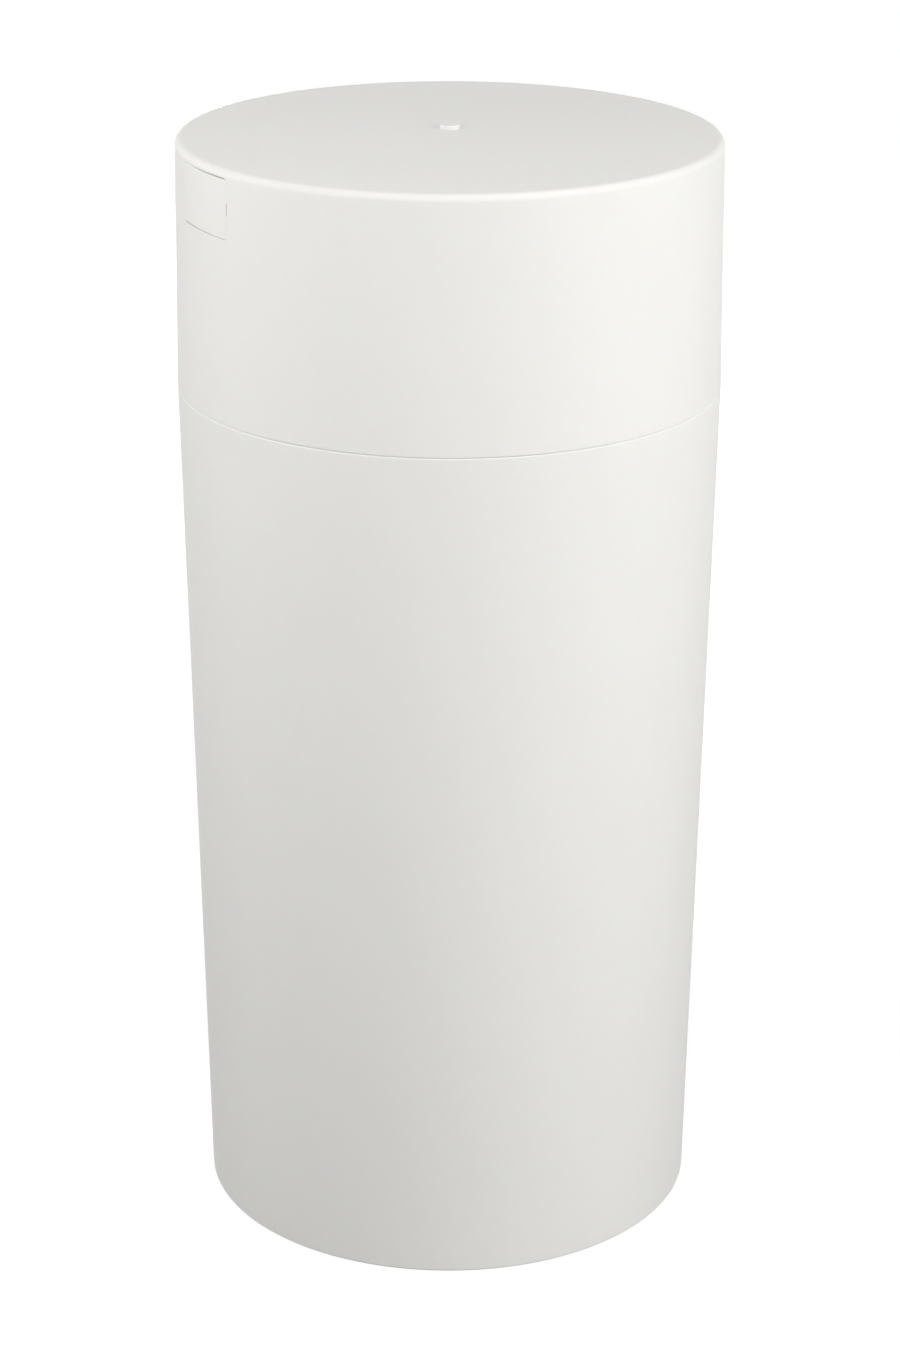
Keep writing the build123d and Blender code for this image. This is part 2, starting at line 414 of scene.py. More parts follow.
siliconeFinish = {
    "skin": {
        "Light Tone": (0.74, 0.735, 0.715, 1),
        "Deep Tone": (0.66, 0.655, 0.635, 1),
        "Smoothest": 0.42,
        "Roughest": 0.6,
        "Mottle Scale": 320.0,
        "Wave Scale": 160.0,
        "Grain Scale": 5200.0,
        "Grain Share": 0.3,
    },
    "relief": 0.02 * mm,
    "shader": {
        "Specular IOR Level": 0.4,
        "Subsurface Weight": 0.5,
        "Subsurface Radius": (1.0, 0.95, 0.85),
        "Subsurface Scale": 0.8 * mm,
    },
}
steelFinish = {
    "skin": {
        "Light Tone": (0.62, 0.61, 0.60, 1),
        "Deep Tone": (0.52, 0.51, 0.50, 1),
        "Smoothest": 0.18,
        "Roughest": 0.36,
        "Mottle Scale": 900.0,
        "Wave Scale": 700.0,
        "Grain Scale": 9000.0,
        "Grain Share": 0.4,
    },
    "relief": 0.006 * mm,
    "shader": {"Metallic": 1.0},
}
bodyPlastic = mouldedFinish("bodyPlastic", bodyFinish)
capPlastic = mouldedFinish("capPlastic", bodyFinish)
buttonPlastic = mouldedFinish("buttonPlastic", buttonFinish)
valvePlastic = mouldedFinish("valvePlastic", valveFinish)
silicone = mouldedFinish("silicone", siliconeFinish)
springSteel = mouldedFinish("springSteel", steelFinish)
print("finishes ready")


# Cap
capSizes = {
    "topRadius": 60.1,
    "draft": 0.7,
    "wall": 1.6,
    "topWall": 1.7,
    "crown": 1.2,
    "cornerRadius": 1.5,
    "edgeChamfer": 0.1,
    "edgeSoftness": 0.05,
    "leadInWidth": 0.5,
    "leadInHeight": 2.0,
    "rimEdgeRadius": 1.6,
}
gateSizes = {"radius": 2.2, "height": 0.9, "edgeRadius": 0.25, "footRadius": 0.15, "skirt": 1.4}
pocketSizes = {
    "buttonWidth": 19.8,
    "topGap": 0.2,
    "bottomGap": 0.13,
    "sideGap": 0.002,
    "buttonCorner": 0.9,
    "mouthRadius": 0.08,
    "sideMouthRadius": 0.004,
    "notchHeight": 2.5,
    "notchDepth": 0.26,
    "notchFloor": 0.3,
    "housingWall": 1.3,
    "housingFloor": 1.5,
    "housingEdge": 0.6,
    "housingRoot": 1 / 3,  # share of the top's wall that the block reaches into
    "ventRadius": 2.3,
    "collarRadius": 2.8,
    "collarHeight": 0.6,
}

apexLevel = capTopLevel - gateSizes["height"]
rimLevel = apexLevel - capSizes["crown"]
shoulderRadius = capSizes["topRadius"] + capSizes["draft"]
wallSlope = capSizes["draft"] / (rimLevel - seamLevel)


def capRadius(level):
    return shoulderRadius - wallSlope * (level - seamLevel)


def capInnerRadius(level):
    return capRadius(level) - capSizes["wall"]


def gateCorners(level, outward):  # low round pip that the moulding gate leaves, from its foot to its centre
    radius = gateSizes["radius"]
    top = level + outward * gateSizes["height"]
    return [(radius, level, gateSizes["footRadius"]), (radius, top, gateSizes["edgeRadius"]), (0, top, 0)]


def capRuns():
    size = capSizes
    soft = size["edgeSoftness"]
    rounding = size["rimEdgeRadius"]
    wallLean = math.atan(wallSlope)
    edgeLevel = rimLevel - rounding
    edgeCentre = (capRadius(edgeLevel) - rounding / math.cos(wallLean), edgeLevel)
    skirtRadius = gateSizes["skirt"] * gateSizes["radius"]
    crown = crownRuns(edgeCentre, rounding, apexLevel, skirtRadius, domeSteps, wallLean)
    edgeStart = crown[0][0][0]
    chamferTop = seamLevel + size["edgeChamfer"]
    mouthRadius = capInnerRadius(seamLevel) + size["leadInWidth"]
    footRadius = shoulderRadius - size["edgeChamfer"]
    footMiddle = (mouthRadius + footRadius) / 2
    outer = outlineRuns([
        (footMiddle, seamLevel, 0),
        (footRadius, seamLevel, soft),
        (capRadius(chamferTop), chamferTop, 2 * soft),
        (*edgeStart, 0),
    ])
    radius, level = crown[-1][-1][0]
    gate = outlineRuns([(radius, level, 0)] + gateCorners(level, 1))
    ceiling = rimLevel - size["topWall"]
    ceilingRadius = capInnerRadius(ceiling)
    corner = size["cornerRadius"]
    vaultCentre = (ceilingRadius - corner, ceiling - corner)
    vault = crownRuns(vaultCentre, corner, ceiling + size["crown"], 0, vaultSteps)
    leadInTop = seamLevel + size["leadInHeight"]
    inner = outlineRuns([
        (ceilingRadius, ceiling - corner, 0),
        (capInnerRadius(leadInTop), leadInTop, soft),
        (mouthRadius, seamLevel, soft),
        (footMiddle, seamLevel, 0),
    ])
    return outer + crown + gate + turnedOver(vault) + inner


def roundedOutline(width, height, rounding, grow=0.0):  # points across and up, with their outward ways
    corners = [(1, 1), (-1, 1), (-1, -1), (1, -1)]
    reach = np.array([width / 2 - rounding, height / 2 - rounding])
    points, ways = [], []
    for quarter, corner in enumerate(corners):
        centre = reach * corner
        nextCentre = reach * corners[(quarter + 1) % len(corners)]
        for angle in np.linspace(quarter, quarter + 1, cornerSteps) * math.pi / 2:
            way = np.array([math.cos(angle), math.sin(angle)])
            points.append(centre + way * (rounding + grow))
            ways.append(way)
        for share in np.arange(1, sideSteps) / sideSteps:
            points.append(centre + (nextCentre - centre) * share + way * (rounding + grow))
            ways.append(way)
    return np.array(points), np.array(ways)


def wallReach(points, offset=0.0):  # how far out the cap's face is, at points across and up
    return np.sqrt((capRadius(valveLevel + points[:, 1]) + offset) ** 2 - points[:, 0] ** 2)


def wallNormals(points):
    reach = wallReach(points)
    normals = np.stack([points[:, 0], wallSlope * np.hypot(points[:, 0], reach), reach], axis=1)
    return normals / np.linalg.norm(normals, axis=1)[:, None]


def raised(points, reach):
    return np.column_stack([points, np.broadcast_to(reach, len(points))])


def roundRow(radius, points, reach):  # a circle with one point for each point of an outline
    ways = points / np.linalg.norm(points, axis=1)[:, None]
    return raised(ways * radius, reach)


def flatWays(ways):
    return np.column_stack([ways, np.zeros(len(ways))])


def plainStages(rows):  # stages of a cutting tool, whose normals aren't kept
    blank = np.zeros((max(map(len, rows)), 3))
    return [(row, blank, blank) for row in rows]


def boxRows(across, up, low, high):  # a box as the rows of a loft; across and up are (from, to)
    corners = np.array([(across[0], up[0]), (across[1], up[0]), (across[1], up[1]), (across[0], up[1])])
    middle = corners.mean(axis=0)[None]
    return [raised(middle, low), raised(corners, low), raised(corners, high), raised(middle, high)]


buttonHeight = buttonHigh - buttonLow
pocketWidth = pocketSizes["buttonWidth"] + 2 * pocketSizes["sideGap"]
pocketHeight = pocketSizes["topGap"] + buttonHeight + pocketSizes["bottomGap"]
pocketCorner = pocketSizes["buttonCorner"] + pocketSizes["sideGap"]
pocketShift = np.array([0, (pocketSizes["topGap"] - pocketSizes["bottomGap"]) / 2])
seatReach = -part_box("valve_washer")[0].y / mm
pocketReach = seatReach + pocketSizes["housingFloor"]
toolReach = capRadius(valveLevel) + pocketCorner  # cutting tools end outside the cap


def housingSkin():  # the block behind the pocket, from its inside face to the middle of the cap's wall
    size = pocketSizes
    wall, edge = size["housingWall"], size["housingEdge"]
    top = rimLevel - capSizes["topWall"] * size["housingRoot"] - valveLevel
    bottom = pocketShift[1] - pocketHeight / 2 - wall
    shift = np.array([0, (top + bottom) / 2])
    centre = shift[None]
    wallMiddle = -capSizes["wall"] / 2
    rows = [raised(centre, seatReach)]
    for angle in np.linspace(0, math.pi / 2, housingSteps):
        grow = -edge * (1 - math.sin(angle))
        outline = roundedOutline(pocketWidth + 2 * wall, top - bottom, pocketCorner + wall, grow)[0]
        points = outline + shift
        rows.append(raised(points, seatReach + edge * (1 - math.cos(angle))))
    rows.append(raised(points, wallReach(points, wallMiddle)))
    rows.append(raised(centre, wallReach(centre, wallMiddle)))
    return onValveAxis(loftSkin(plainStages(rows)))


def pocketSkin():  # all that is hollow behind the button, with the vent's collar left standing
    size = pocketSizes
    outline, ways = roundedOutline(pocketWidth, pocketHeight, pocketCorner)
    soft = (ways**2 @ [size["sideMouthRadius"], size["mouthRadius"]])[:, None]
    outline = outline + pocketShift
    ventEnd = seatReach - size["housingFloor"]
    collarTop = pocketReach + size["collarHeight"]
    rows = [
        np.array([[0, 0, ventEnd]]),
        roundRow(size["ventRadius"], outline, ventEnd),
        roundRow(size["ventRadius"], outline, collarTop),
        roundRow(size["collarRadius"], outline, collarTop),
        roundRow(size["collarRadius"], outline, pocketReach),
        raised(outline, pocketReach),
    ]
    for angle in np.linspace(math.pi / 2, 0, mouthSteps, endpoint=False):  # rounded mouth
        points = outline + ways * soft * (1 - math.sin(angle))
        rows.append(raised(points, wallReach(points) - soft[:, 0] * (1 - math.cos(angle))))
    rows.append(raised(points, toolReach))
    rows.append(np.array([[0, 0, toolReach]]))
    return onValveAxis(loftSkin(plainStages(rows)))


def notchSkin(side):  # guide notch in one side of the pocket, which the button's rib runs in
    size = pocketSizes
    edge = side * pocketWidth / 2
    across = sorted((edge - side * size["notchDepth"], edge + side * size["notchDepth"]))
    half = size["notchHeight"] / 2
    rows = boxRows(across, (-half, half), pocketReach + size["notchFloor"], toolReach)
    return onValveAxis(loftSkin(plainStages(rows)))


def cutMesh(mesh, skin, operation):
    base = bpy.data.objects.new("base", mesh)
    tool = bpy.data.objects.new("tool", skinMesh("tool", skin))
    for helper in (base, tool):
        bpy.context.collection.objects.link(helper)
    cut = base.modifiers.new(operation, "BOOLEAN")
    cut.operation = operation
    cut.solver = "EXACT"
    cut.object = tool
    bpy.context.view_layer.update()
    result = bpy.data.meshes.new_from_object(base.evaluated_get(bpy.context.evaluated_depsgraph_get()))
    for helper in (base, tool):
        bpy.data.objects.remove(helper)
    return result


def mergeTwins(mesh):  # points that the cuts left on top of each other
    work = bmesh.new()
    work.from_mesh(mesh)
    bmesh.ops.remove_doubles(work, verts=work.verts, dist=twinDistance)
    work.to_mesh(mesh)
    work.free()


creaseAngle = math.radians(32)  # sharper edges stay crisp
alikeAngle = math.radians(8)
onSurface = 0.03  # a face this near to the turned surface, and alike in slope, is part of it


def latheNormals(mesh, runs):  # exact normals where a face still lies on the turned surface
    mesh.set_sharp_from_angle(angle=creaseAngle)
    normals = np.array([corner.vector for corner in mesh.corner_normals])
    pairs = [pair for run in runs for pair in zip(run, run[1:])]
    starts = np.array([low[0] for low, high in pairs])
    spans = np.array([high[0] for low, high in pairs]) - starts
    lowWays = np.array([low[1] for low, high in pairs])
    highWays = np.array([high[1] for low, high in pairs])
    lengths = (spans**2).sum(axis=1)
    points = np.array([vertex.co for vertex in mesh.vertices])
    radial = np.column_stack([np.hypot(points[:, 0], points[:, 1]), points[:, 2]])

    def nearestOn(segment, place):
        share = np.clip(((place - starts[segment]) * spans[segment]).sum(-1) / lengths[segment], 0, 1)
        way = lowWays[segment] * (1 - share)[..., None] + highWays[segment] * share[..., None]
        foot = starts[segment] + spans[segment] * share[..., None]
        return foot, way / np.linalg.norm(way, axis=-1)[..., None]

    everySegment = np.arange(len(pairs))
    for face in mesh.polygons:
        corners = list(face.vertices)
        middle = radial[corners].mean(axis=0)
        foot, way = nearestOn(everySegment, middle[None])
        away = np.linalg.norm(foot - middle, axis=1)
        outward = face.center.xy.normalized()
        slope = np.array([outward.dot(face.normal.xy), face.normal.z])
        away[way @ slope < math.cos(alikeAngle)] = np.inf
        segment = int(np.argmin(away))
        if away[segment] > onSurface:
            continue
        ways = nearestOn(np.full(len(corners), segment), radial[corners])[1]
        for loop, corner, (out, up) in zip(face.loop_indices, corners, ways):
            spoke = points[corner, :2] / max(radial[corner, 0], tiny)
            normals[loop] = [spoke[0] * out, spoke[1] * out, up]
    return normals


def makeCap():
    runs = capRuns()
    mesh = skinMesh("cap", latheSkin(runs))
    mesh = cutMesh(mesh, housingSkin(), "UNION")
    mesh = cutMesh(mesh, pocketSkin(), "DIFFERENCE")
    for side in (-1, 1):
        mesh = cutMesh(mesh, notchSkin(side), "DIFFERENCE")
    mergeTwins(mesh)
    normals = latheNormals(mesh, runs)
    return addPiece("deepCap", mesh, normals, capPlastic, "cap", "cap_plastic", "cap")


makeCap()

# Canister
canisterSizes = {
    "baseRadius": 57.05,
    "baseWall": 2.0,
    "floorThickness": 2.6,
    "footRecess": 1.2,
    "footRingWidth": 5.0,
    "footCornerRadius": 0.6,
    "baseEdgeRadius": 0.5,
    "floorCornerRadius": 4.0,
    "shoulderEdgeRadius": 0.52,
    "neckRootRadius": 0.35,
    "neckClearance": 0.35,
    "neckRimWall": 1.75,
    "neckRimRadius": 0.25,
    "edgeSoftness": 0.12,
}
sealSizes = {
    "wall": 0.7,
    "innerHeight": 3.6,
    "outerHeight": 5.4,
    "fit": 0.08,
    "lipClearance": 0.15,
    "lipHeight": 1.1,
    "lipSpacing": 2.2,
    "lipCount": 2,
    "firstLipDrop": 0.9,
    "edgeRadius": 0.3,
    "lipEdge": 0.12,
}


def neckRadius(level):
    return capInnerRadius(level) - canisterSizes["neckClearance"]


neckRimInner = neckRadius(neckRimLevel) - canisterSizes["neckRimWall"]
sealSeatRadius = neckRadius(neckRimLevel) - sealSizes["wall"] - sealSizes["fit"]


def canisterInnerRadius(level):
    bottom = canisterSizes["baseRadius"] - canisterSizes["baseWall"]
    return bottom + (neckRimInner - bottom) * level / neckRimLevel


def makeCanister():
    size = canisterSizes
    soft = size["edgeSoftness"]
    footRadius = size["baseRadius"] - size["footRingWidth"]
    floor = size["footRecess"] + size["floorThickness"]
    seat = neckRimLevel - sealSizes["outerHeight"] - sealSizes["fit"]
    corners = gateCorners(size["footRecess"], -1)[::-1] + [
        (footRadius, size["footRecess"], size["footCornerRadius"]),
        (footRadius + size["footRecess"], 0, soft),
        (size["baseRadius"], 0, size["baseEdgeRadius"]),
        (shoulderRadius, seamLevel, size["shoulderEdgeRadius"]),
        (neckRadius(seamLevel), seamLevel, size["neckRootRadius"]),
        (neckRadius(seat), seat, soft),
        (sealSeatRadius, seat, soft),
        (sealSeatRadius, neckRimLevel, size["neckRimRadius"]),
        (neckRimInner, neckRimLevel, size["neckRimRadius"]),
        (canisterInnerRadius(floor), floor, size["floorCornerRadius"]),
        (0, floor, 0),
    ]
    skin = latheSkin(outlineRuns(corners))
    mesh = skinMesh("canister", skin)
    return addPiece(
        "canisterShell", mesh, skin.normals, bodyPlastic, "canister", "canister_plastic", "canister"
    )


def makeSeal():
    size = sealSizes
    innerBottom = neckRimLevel - size["innerHeight"]
    innerFace = canisterInnerRadius(innerBottom) - size["fit"]
    outerBottom = neckRimLevel - size["outerHeight"]
    outerRoot = sealSeatRadius + size["fit"]
    outerFace = outerRoot + size["wall"]
    top = levels("neck_seal")[1]
    edge = size["edgeRadius"]
    lips = []
    for lip in reversed(range(size["lipCount"])):
        lipTop = neckRimLevel - size["firstLipDrop"] - lip * size["lipSpacing"]
        lipBottom = lipTop - size["lipHeight"]
        tip = capInnerRadius(lipTop) - size["lipClearance"]
        lips += [
            (outerFace, lipBottom, size["lipEdge"]),
            (tip, lipBottom, size["lipEdge"]),
            (outerFace, lipTop, edge),
        ]
    corners = [
        (innerFace - size["wall"], innerBottom, edge),
        (innerFace, innerBottom, size["lipEdge"]),
        (innerFace, neckRimLevel, 0),
        (outerRoot, neckRimLevel, 0),
        (outerRoot, outerBottom, size["lipEdge"]),
        (outerFace, outerBottom, size["lipEdge"]),
        *lips,
        (outerFace, top, edge),
        (innerFace - size["wall"], top, edge),
    ]
    skin = latheSkin(outlineRuns(corners, closed=True))
    mesh = skinMesh("neckSeal", skin)
    return addPiece("neckSealRing", mesh, skin.normals, silicone, "seal", "silicone", "neck_seal")


makeCanister()
makeSeal()

# Release button
buttonSizes = {
    "depth": 3.8,
    "faceWall": 1.8,
    "skirtWall": 1.2,
    "hollowCorner": 0.5,
    "edgeRadius": 0.25,
    "sideEdgeRadius": 0.005,
    "leftProud": 0.06,
    "rightProud": 0.01,
    "ribHeight": 2.2,
    "ribProud": 0.2,
    "ribSetback": 1.6,
    "droop": 0.012,  # the right end hangs a little lower
    "socketSkin": 1.0,
    "socketRadius": 1.46,
    "grooveRadius": 1.66,
    "grooveWidth": 0.96,
    "padRadius": 3.95,
    "padHeight": 0.4,
    "faceRings": (0.92, 0.75, 0.55, 0.35, 0.15),  # shares of the way out from the centre of the face
}
buttonReach = -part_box("release_button")[0].y / mm
skirtReach = buttonReach - buttonSizes["depth"]
padReach = buttonReach - buttonSizes["faceWall"] - buttonSizes["padHeight"]
socketReach = buttonReach - buttonSizes["socketSkin"]
beadReach = (skirtReach + socketReach) / 2  # where the stem snaps in


def ribSkin(side):  # guide rib on one side of the button, with its root in the skirt
    size = buttonSizes
    edge = side * pocketSizes["buttonWidth"] / 2
    across = sorted((edge - side * size["ribProud"], edge + side * size["ribProud"]))
    half = size["ribHeight"] / 2
    low, high = skirtReach + pocketSizes["sideGap"], buttonReach - size["ribSetback"]
    rows = boxRows(across, (-half, half), low, high)
    back = np.tile([0.0, 0.0, -1.0], (len(rows[1]), 1))
    corners = rows[1] - rows[0]
    sides = corners / np.linalg.norm(corners, axis=1)[:, None]
    return loftSkin([
        (rows[0], None, back),
        (rows[1], back, sides),
        (rows[2], sides, -back),
        (rows[3], -back, None),
    ])


def faceReach(points, depth=0.0):  # the button's face, or what lies a given depth behind it
    size = buttonSizes
    share = points[:, 0] / pocketSizes["buttonWidth"] + 0.5
    return wallReach(points, size["leftProud"] * (1 - share) + size["rightProud"] * share - depth)


def drooped(skin, slope):  # each point sinks in step with its place across
    skin.points = [point - np.array([0, slope * point[0], 0]) for point in skin.points]
    return skin


def makeButton():
    size = buttonSizes
    width, corner = pocketSizes["buttonWidth"], pocketSizes["buttonCorner"]
    wall = size["skirtWall"]
    outline, ways = roundedOutline(width, buttonHeight, corner)
    edge = (ways**2 @ [size["sideEdgeRadius"], size["edgeRadius"]])[:, None]
    hollow, hollowWays = roundedOutline(width - 2 * wall, buttonHeight - 2 * wall, size["hollowCorner"])
    sides = flatWays(ways)
    hollowSides = -flatWays(hollowWays)
    rays = flatWays(outline / np.linalg.norm(outline, axis=1)[:, None])
    back = np.tile([0.0, 0.0, -1.0], (len(outline), 1))
    bossRadius = pocketSizes["collarRadius"]
    padFoot = roundRow(size["padRadius"], outline, 0)[:, :2]
    socket, groove = size["socketRadius"], size["grooveRadius"]
    grooveLow, grooveHigh = beadReach - size["grooveWidth"] / 2, beadReach + size["grooveWidth"] / 2
    stages = [
        (np.array([[0, 0, socketReach]]), None, back),
        (roundRow(socket, outline, socketReach), back, -rays),
        (roundRow(socket, outline, grooveHigh), -rays, back),
        (roundRow(groove, outline, grooveHigh), back, -rays),
        (roundRow(groove, outline, grooveLow), -rays, -back),
        (roundRow(socket, outline, grooveLow), -back, -rays),
        (roundRow(socket, outline, skirtReach), -rays, back),
        (roundRow(bossRadius, outline, skirtReach), back, rays),
        (roundRow(bossRadius, outline, padReach), rays, back),
        (raised(padFoot, padReach), back, rays),
        (raised(padFoot, faceReach(padFoot, size["faceWall"])), rays, -wallNormals(padFoot)),
        (raised(hollow, faceReach(hollow, size["faceWall"])), -wallNormals(hollow), hollowSides),
        (raised(hollow, skirtReach), hollowSides, back),
        (raised(outline, skirtReach), back, sides),
    ]
    for angle in np.linspace(math.pi / 2, 0, faceEdgeSteps):  # rounded edge of the face
        points = outline - ways * edge * (1 - math.sin(angle))
        normals = wallNormals(points) * math.cos(angle) + sides * math.sin(angle)
        reach = faceReach(points) - edge[:, 0] * (1 - math.cos(angle))
        stages.append((raised(points, reach), normals, normals))
    rim = points
    for share in size["faceRings"]:
        points = rim * share
        stages.append((raised(points, faceReach(points)), wallNormals(points), wallNormals(points)))
    centre = np.zeros((1, 2))
    centreNormals = np.tile(wallNormals(centre), (len(outline), 1))
    stages.append((raised(centre, faceReach(centre)), centreNormals, None))
    skin = loftSkin(stages)
    for side in (-1, 1):
        skin.join(ribSkin(side))
    skin = onValveAxis(drooped(skin, size["droop"]))
    mesh = skinMesh("button", skin)
    return addPiece(
        "fingerButton", mesh, skin.normals, buttonPlastic, "button", "button_plastic", "release_button"
    )


# Valve behind the button
valveSizes = {
    "stemRadius": 1.4,
    "stemTipGap": 0.1,
    "beadHeight": 0.2,
    "beadWidth": 0.8,
    "headRadius": 4.4,
    "headEdge": 0.5,
    "washerRadius": 4.2,
    "washerHole": 1.46,
    "softness": 0.08,
    "turns": 72,
}
washerReach = -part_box("valve_washer")[1].y / mm
headReach = -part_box("valve_stem")[1].y / mm


def makeStem():
    size = valveSizes
    soft = size["softness"]
    shaft = size["stemRadius"]
    tip = socketReach - size["stemTipGap"]
    bead = shaft + size["beadHeight"]
    beadLow, beadHigh = beadReach - size["beadWidth"] / 2, beadReach + size["beadWidth"] / 2
    corners = [
        (0, headReach, 0),
        (size["headRadius"], headReach, size["headEdge"]),
        (size["headRadius"], washerReach, soft),
        (shaft, washerReach, soft),
        (shaft, beadLow, soft),
        (bead, beadLow, soft),
        (bead, beadHigh - size["beadHeight"], soft),
        (shaft, beadHigh, soft),
        (shaft, tip - size["beadHeight"], soft),
        (shaft - size["beadHeight"], tip, soft),
        (0, tip, 0),
    ]
    skin = onValveAxis(latheSkin(outlineRuns(corners), size["turns"]))
    mesh = skinMesh("stem", skin)
    return addPiece("valvePoppet", mesh, skin.normals, valvePlastic, "button", "valve_plastic", "valve_stem")


def makeWasher():
    size = valveSizes
    soft = size["softness"]
    hole, rim = size["washerHole"], size["washerRadius"]
    corners = [
        (hole, washerReach, soft),
        (rim, washerReach, soft),
        (rim, seatReach, soft),
        (hole, seatReach, soft),
    ]
    skin = onValveAxis(latheSkin(outlineRuns(corners, closed=True), size["turns"]))
    mesh = skinMesh("washer", skin)
    return addPiece("valveWasher", mesh, skin.normals, silicone, "button", "silicone", "valve_washer")


springSizes = {
    "wire": 0.5,
    "innerRadius": 3.1,
    "turns": 3.25,
    "endGap": 0.06,
    "stepsPerTurn": 48,
    "sides": 14,
    "travel": 2.0,
}


def makeSpring():
    size = springSizes
    wire = size["wire"] / 2
    coil = size["innerRadius"] + wire
    low = pocketReach + size["endGap"] + wire
    high = padReach - size["endGap"] - wire
    wholeTurn = size["turns"] * 2 * math.pi
    steps = round(size["turns"] * size["stepsPerTurn"])
    rise = (high - low) / wholeTurn
    around = np.arange(size["sides"]) * 2 * math.pi / size["sides"]
    stages = []
    for angle in np.linspace(0, wholeTurn, steps + 1):
        spoke = np.array([math.cos(angle), math.sin(angle), 0])
        along = unit(np.array([-coil * math.sin(angle), coil * math.cos(angle), rise]))
        across = np.cross(along, spoke)
        ways = np.outer(np.cos(around), spoke) + np.outer(np.sin(around), across)
        centre = spoke * coil + np.array([0, 0, low + rise * angle])
        if not stages:
            ends = np.tile(-along, (size["sides"], 1))
            stages.append((centre[None], None, ends))
            stages.append((centre + ways * wire, ends, ways))
        else:
            stages.append((centre + ways * wire, ways, ways))
    ends = np.tile(along, (size["sides"], 1))
    stages[-1] = (stages[-1][0], ways, ends)
    stages.append((centre[None], ends, None))
    skin = onValveAxis(loftSkin(stages))
    mesh = skinMesh("spring", skin)
    piece = addPiece("returnSpring", mesh, skin.normals, springSteel, "cap", "spring_steel", "button_spring")
    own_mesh(piece)
    return piece


makeButton()
makeStem()
makeWasher()
makeSpring()


# Studio
def placedAt(azimuth, distance, height):  # azimuth 0 stands on the button's side, 90 on its right
    angle = math.radians(azimuth)
    return Vector((distance * math.sin(angle), -distance * math.cos(angle), height))


def seenFactor(tree):  # 1 for what the eye sees, straight, mirrored or through glass
    path = tree.nodes.new("ShaderNodeLightPath").outputs
    mirrored = addMath(tree, "MAXIMUM", path["Is Glossy Ray"], path["Is Transmission Ray"])
    return addMath(tree, "MAXIMUM", path["Is Camera Ray"], mirrored)


floorLook = {
    "size": 12.0,
    "shade": (0.2, 0.2, 0.2, 1),  # what the floor throws back on the canister
    "shadowShade": (0.2, 0.2, 0.2, 1),
    "nearWhite": 0.86,  # under the canister, where the lamps add the rest
    "farWhite": 1.0,
    "nearRadius": 0.1,
    "farRadius": 0.5,
}


def makeFloor():
    look = floorLook
    half = look["size"] / 2
    mesh = bpy.data.meshes.new("floor")
    corners = [(-half, -half, 0), (half, -half, 0), (half, half, 0), (-half, half, 0)]
    mesh.from_pydata(corners, [], [(0, 1, 2, 3)])
    floor = bpy.data.objects.new("floor", mesh)
    bpy.context.collection.objects.link(floor)
    finish, tree, shader = newFinish("floorPaper")
    tree.nodes.remove(shader)
    away = tree.nodes.new("ShaderNodeVectorMath")
    away.operation = "LENGTH"
    tree.links.new(tree.nodes.new("ShaderNodeTexCoord").outputs["Object"], away.inputs[0])
    white = addNode(
        tree,
        "ShaderNodeMapRange",
        Value=away.outputs["Value"],
        From_Min=look["nearRadius"],
        From_Max=look["farRadius"],
        To_Min=look["nearWhite"],
        To_Max=look["farWhite"],
    )
    white.interpolation_type = "SMOOTHSTEP"
    glow = addNode(tree, "ShaderNodeEmission", Color=(1, 1, 1, 1), Strength=white.outputs["Result"])
    shadow = addNode(tree, "ShaderNodeBsdfDiffuse", Color=look["shadowShade"])
    bounce = addNode(tree, "ShaderNodeBsdfDiffuse", Color=look["shade"])
    seen = tree.nodes.new("ShaderNodeAddShader")
    tree.links.new(glow.outputs[0], seen.inputs[0])
    tree.links.new(shadow.outputs[0], seen.inputs[1])
    choice = tree.nodes.new("ShaderNodeMixShader")
    tree.links.new(seenFactor(tree), choice.inputs[0])
    tree.links.new(bounce.outputs[0], choice.inputs[1])
    tree.links.new(seen.outputs[0], choice.inputs[2])
    tree.links.new(choice.outputs[0], tree.nodes["Material Output"].inputs["Surface"])
    mesh.materials.append(finish)


ambientLook = {"colour": (1, 1, 1, 1), "strength": 0.01}


def makeSurround():
    world = bpy.data.worlds.new("studio")
    bpy.context.scene.world = world
    world.use_nodes = True
    tree = world.node_tree
    tree.nodes.clear()
    look = ambientLook
    ambient = addNode(tree, "ShaderNodeBackground", Color=look["colour"], Strength=look["strength"])
    white = addNode(tree, "ShaderNodeBackground", Color=(1, 1, 1, 1), Strength=1.0)
    choice = tree.nodes.new("ShaderNodeMixShader")
    tree.links.new(seenFactor(tree), choice.inputs[0])
    tree.links.new(ambient.outputs[0], choice.inputs[1])
    tree.links.new(white.outputs[0], choice.inputs[2])
    output = tree.nodes.new("ShaderNodeOutputWorld")
    tree.links.new(choice.outputs[0], output.inputs["Surface"])


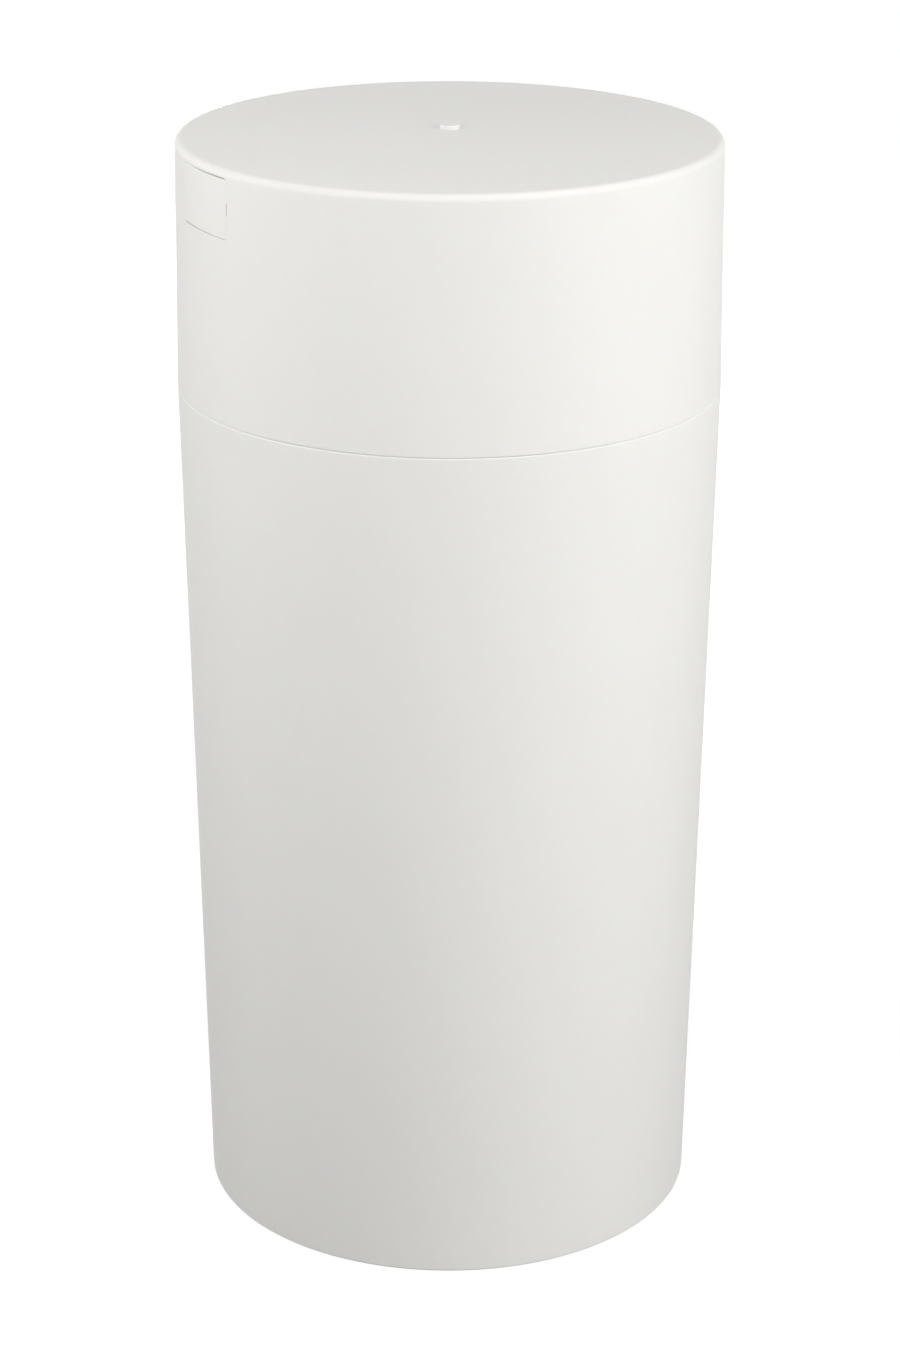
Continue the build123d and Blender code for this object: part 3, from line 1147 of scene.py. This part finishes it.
cameraLook = {
    "azimuth": 60.6,
    "distance": 0.7495,
    "height": 0.4095,
    "aim": 0.12457,
    "sideways": 0.00029,
    "roll": 0.00235,
    "lens": 92.21,
    "sensor": 36.0,
}
lampLooks = {  # azimuths are counted from the camera, to the right
    "frontPanel": {"azimuth": 0, "distance": 1.0, "height": 0.25, "width": 0.7, "rise": 0.5, "power": 2.8},
    "frontLamp": {"azimuth": 0, "distance": 0.55, "height": 0.5, "width": 0.4, "rise": 0.4, "power": 0.93},
    "rightPanel": {"azimuth": 60, "distance": 1.0, "height": 0.2, "width": 0.7, "rise": 0.7, "power": 6.2},
    "rightLamp": {"azimuth": 80, "distance": 0.5, "height": 0.55, "width": 0.4, "rise": 0.4, "power": 1.55},
    "leftPanel": {"azimuth": -100, "distance": 1.0, "height": 0.2, "width": 0.7, "rise": 0.7, "power": 3.4},
    "leftLamp": {"azimuth": -64, "distance": 0.5, "height": 0.55, "width": 0.4, "rise": 0.4, "power": 2.12},
    "backPanel": {"azimuth": 180, "distance": 0.5, "height": 1.2, "width": 0.7, "rise": 0.7, "power": 2.4},
    "backFill": {"azimuth": 180, "distance": 1.0, "height": 0.15, "width": 0.3, "rise": 0.2, "power": 2.6},
}
lampAim = 0.15


def makeLamps():
    for name, look in lampLooks.items():
        light = bpy.data.lights.new(name, "AREA")
        light.shape = "RECTANGLE"
        light.size = look["width"]
        light.size_y = look["rise"]
        light.energy = look["power"]
        lamp = bpy.data.objects.new(name, light)
        lamp.location = placedAt(cameraLook["azimuth"] + look["azimuth"], look["distance"], look["height"])
        lamp.visible_camera = False
        toAim = Vector((0, 0, lampAim)) - lamp.location
        lamp.rotation_euler = toAim.to_track_quat("-Z", "Y").to_euler()
        bpy.context.collection.objects.link(lamp)


def makeCamera():
    look = cameraLook
    camera = bpy.data.objects.new("camera", bpy.data.cameras.new("camera"))
    camera.data.lens = look["lens"]
    camera.data.sensor_width = look["sensor"]
    camera.data.dof.use_dof = False
    place = placedAt(look["azimuth"], look["distance"], look["height"])
    right = placedAt(look["azimuth"] + 90, 1, 0)
    aim = Vector((0, 0, look["aim"])) + right * look["sideways"]
    turn = (aim - place).to_track_quat("-Z", "Y").to_matrix() @ Matrix.Rotation(look["roll"], 3, "Z")
    camera.matrix_world = Matrix.Translation(place) @ turn.to_4x4()
    bpy.context.collection.objects.link(camera)
    bpy.context.scene.camera = camera


makeFloor()
makeSurround()
makeLamps()
makeCamera()
bpy.context.scene.view_settings.view_transform = "Standard"
print("studio ready")
